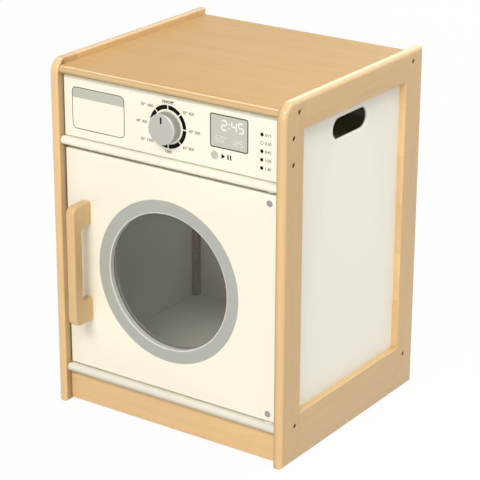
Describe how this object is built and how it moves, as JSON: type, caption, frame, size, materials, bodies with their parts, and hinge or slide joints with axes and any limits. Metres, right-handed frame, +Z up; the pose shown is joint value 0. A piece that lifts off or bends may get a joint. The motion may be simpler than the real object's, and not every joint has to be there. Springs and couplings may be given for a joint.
{
  "type": "toy washing machine",
  "caption": "Wooden play washing machine: a cabinet with hand slots, a hinged porthole door with a smoked pane and wooden handle, and a turning program knob.",
  "frame": {"origin": "on the floor, under the middle of the whole toy's box with its door shut and its handle counted", "axes": "+Z up, +X to the right of someone who faces the door, +Y from the door to the back"},
  "size_m": [0.4, 0.386, 0.53],
  "materials": {
    "lacquered_beech": "clear satin lacquer over fine straight grain",
    "dowel_wood": "bare turned wood",
    "cream_paint": "smooth cream satin paint on board",
    "dark_screw_steel": "blackened steel",
    "zinc_plated_steel": "bright zinc plate",
    "grey_metal": "flat grey",
    "white_nylon": "natural nylon",
    "catch_plastic": "moulded white plastic",
    "magnet": "dark ferrite",
    "smoked_pane": "clear smoked acrylic, polished",
    "silver_knob": "silver-grey satin"
  },
  "bodies": {
    "cabinet": {"left_front_stile": "lacquered_beech", "right_front_stile": "lacquered_beech", "left_rear_stile": "lacquered_beech", "right_rear_stile": "lacquered_beech", "left_top_rail": "lacquered_beech", "right_top_rail": "lacquered_beech", "left_bottom_rail": "lacquered_beech", "right_bottom_rail": "lacquered_beech", "left_infill_panel": "cream_paint", "right_infill_panel": "cream_paint", "left_frame_dowels": "dowel_wood", "right_frame_dowels": "dowel_wood", "left_side_screws": "dark_screw_steel", "right_side_screws": "dark_screw_steel", "top_board": "lacquered_beech", "middle_shelf": "cream_paint", "bottom_shelf": "cream_paint", "control_panel": "cream_paint", "control_panel_screws": "zinc_plated_steel", "plinth": "lacquered_beech", "cross_dowels": "dowel_wood", "back_panel": "cream_paint", "back_panel_screws": "zinc_plated_steel", "left_corner_batten": "lacquered_beech", "right_corner_batten": "lacquered_beech", "upper_hinge_bush": "white_nylon", "lower_hinge_bush": "white_nylon", "magnet_catch": "catch_plastic", "catch_magnet": "magnet", "catch_screws": "zinc_plated_steel"},
    "door": {"door_panel": "cream_paint", "window_pane": "smoked_pane", "pane_retaining_ring": "cream_paint", "retaining_ring_screws": "zinc_plated_steel", "door_handle": "lacquered_beech", "door_handle_screws": "zinc_plated_steel", "hinge_barrel_nuts": "grey_metal", "upper_hinge_bolt": "zinc_plated_steel", "lower_hinge_bolt": "zinc_plated_steel", "hinge_spacer": "white_nylon", "strike_plate": "zinc_plated_steel", "strike_plate_screws": "zinc_plated_steel"},
    "dial": {"program_knob": "silver_knob", "knob_spindle": "zinc_plated_steel", "knob_friction_washer": "white_nylon", "knob_rear_washer": "zinc_plated_steel", "knob_lock_nut": "zinc_plated_steel"}
  },
  "joints": [
    {"name": "door_hinge", "type": "hinge", "parent": "cabinet", "child": "door", "pos_m": [0.167, -0.1465, 0.2305], "axis": [0, 0, 1], "range_deg": [0, 110]},
    {"name": "knob_turn", "type": "hinge", "parent": "cabinet", "child": "dial", "pos_m": [-0.001, -0.154, 0.462], "axis": [0, -1, 0], "continuous": true}
  ]
}
